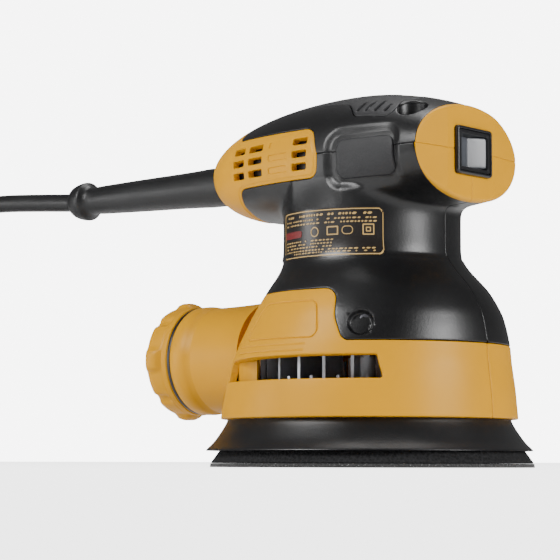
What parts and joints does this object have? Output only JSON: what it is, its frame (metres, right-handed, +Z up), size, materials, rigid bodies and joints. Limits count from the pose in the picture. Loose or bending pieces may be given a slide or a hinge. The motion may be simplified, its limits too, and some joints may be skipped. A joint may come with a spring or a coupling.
{
  "type": "random orbital sander",
  "caption": "Corded palm-grip random orbital sander with a round foam-backed pad, finned fan behind an exhaust window, rear dust port and coiled mains lead.",
  "frame": {"origin": "centre of the sanding face, on the motor's axis", "axes": "+X towards the switch end, -X towards the cord and dust port, +Z up from the sanding face along the motor's axis"},
  "size_m": [0.4709, 0.126, 0.1442],
  "materials": {
    "body_black": "satin moulded plastic, fine texture",
    "body_yellow": "satin moulded plastic, yellow",
    "grip_rubber": "soft overmould with ribs",
    "badge": "plain satin plate",
    "label": "satin printed film with a thin border",
    "skirt_rubber": "matt rubber",
    "screw_steel": "zinc plated",
    "lamination": "stacked laminations",
    "copper": "enamelled copper wire",
    "cast_alloy": "as cast",
    "fan_alloy": "bright cast blades",
    "inner_plastic": "glass-filled moulding",
    "bearing_steel": "ground and polished",
    "carbon": "pressed carbon",
    "brass": "rolled sheet",
    "switch_face": "satin rocker",
    "cord_rubber": "matt rubber sheath",
    "tie_webbing": "woven hook-and-loop strap",
    "pad_plastic": "glass-filled moulding",
    "pad_foam": "closed-cell foam",
    "hook_layer": "hook fastener"
  },
  "bodies": {
    "housing": {"housing_right": "body_black", "housing_left": "body_black", "top_cover": "body_black", "palm_grip": "grip_rubber", "badge": "badge", "side_grip_right": "grip_rubber", "side_grip_left": "grip_rubber", "nose_cap_upper": "body_yellow", "nose_cap_right": "body_yellow", "nose_cap_left": "body_yellow", "rear_grille": "body_yellow", "rating_label": "label", "shroud_right": "body_yellow", "shroud_left": "body_yellow", "dust_port": "body_yellow", "dust_skirt": "skirt_rubber", "top_cover_screws": "screw_steel", "housing_screws": "screw_steel", "bearing_plate_screws": "screw_steel", "stator_core": "lamination", "stator_coils": "copper", "bearing_plate": "cast_alloy", "fan_baffle": "cast_alloy", "upper_bearing_seat": "inner_plastic", "upper_bearing_outer": "bearing_steel", "lower_bearing_outer": "bearing_steel", "brush_holders": "brass", "brushes": "carbon", "brush_springs": "screw_steel", "switch_body": "inner_plastic", "switch_bezel": "body_black", "cord_clamp": "inner_plastic", "strain_relief": "cord_rubber", "power_cord": "cord_rubber", "cord_coil": "cord_rubber", "cord_tail": "cord_rubber", "cord_tie": "tie_webbing", "plug_body": "cord_rubber", "plug_blades": "brass"},
    "rotor": {"rotor_shaft": "bearing_steel", "rotor_core": "lamination", "commutator": "copper", "rotor_windings": "copper", "upper_bearing_inner": "bearing_steel", "upper_bearing_balls": "bearing_steel", "lower_bearing_inner": "bearing_steel", "lower_bearing_balls": "bearing_steel", "impeller": "fan_alloy", "eccentric": "cast_alloy", "pad_bearing_outer": "bearing_steel"},
    "pad": {"pad_bearing_inner": "bearing_steel", "pad_bearing_balls": "bearing_steel", "pad_spindle": "bearing_steel", "pad_plate": "pad_plastic", "pad_foam": "pad_foam", "hook_face": "hook_layer", "pad_screws": "screw_steel"},
    "rocker": {"switch_rocker": "switch_face"},
    "collar": {"dust_collar": "body_yellow"}
  },
  "joints": [
    {"name": "rotor_spin", "type": "hinge", "parent": "housing", "child": "rotor", "pos_m": [0, 0, 0.06], "axis": [0, 0, 1], "continuous": true},
    {"name": "pad_spin", "type": "hinge", "parent": "rotor", "child": "pad", "pos_m": [0.0013, 0, 0.018], "axis": [0, 0, 1], "continuous": true},
    {"name": "switch_rock", "type": "hinge", "parent": "housing", "child": "rocker", "pos_m": [0.045, 0, 0.1184], "axis": [0, 0, 1], "range_deg": [0, 20]},
    {"name": "dust_collar_turn", "type": "hinge", "parent": "housing", "child": "collar", "pos_m": [-0.093, 0, 0.0434], "axis": [1, 0, 0], "range_deg": [0, 30]}
  ]
}
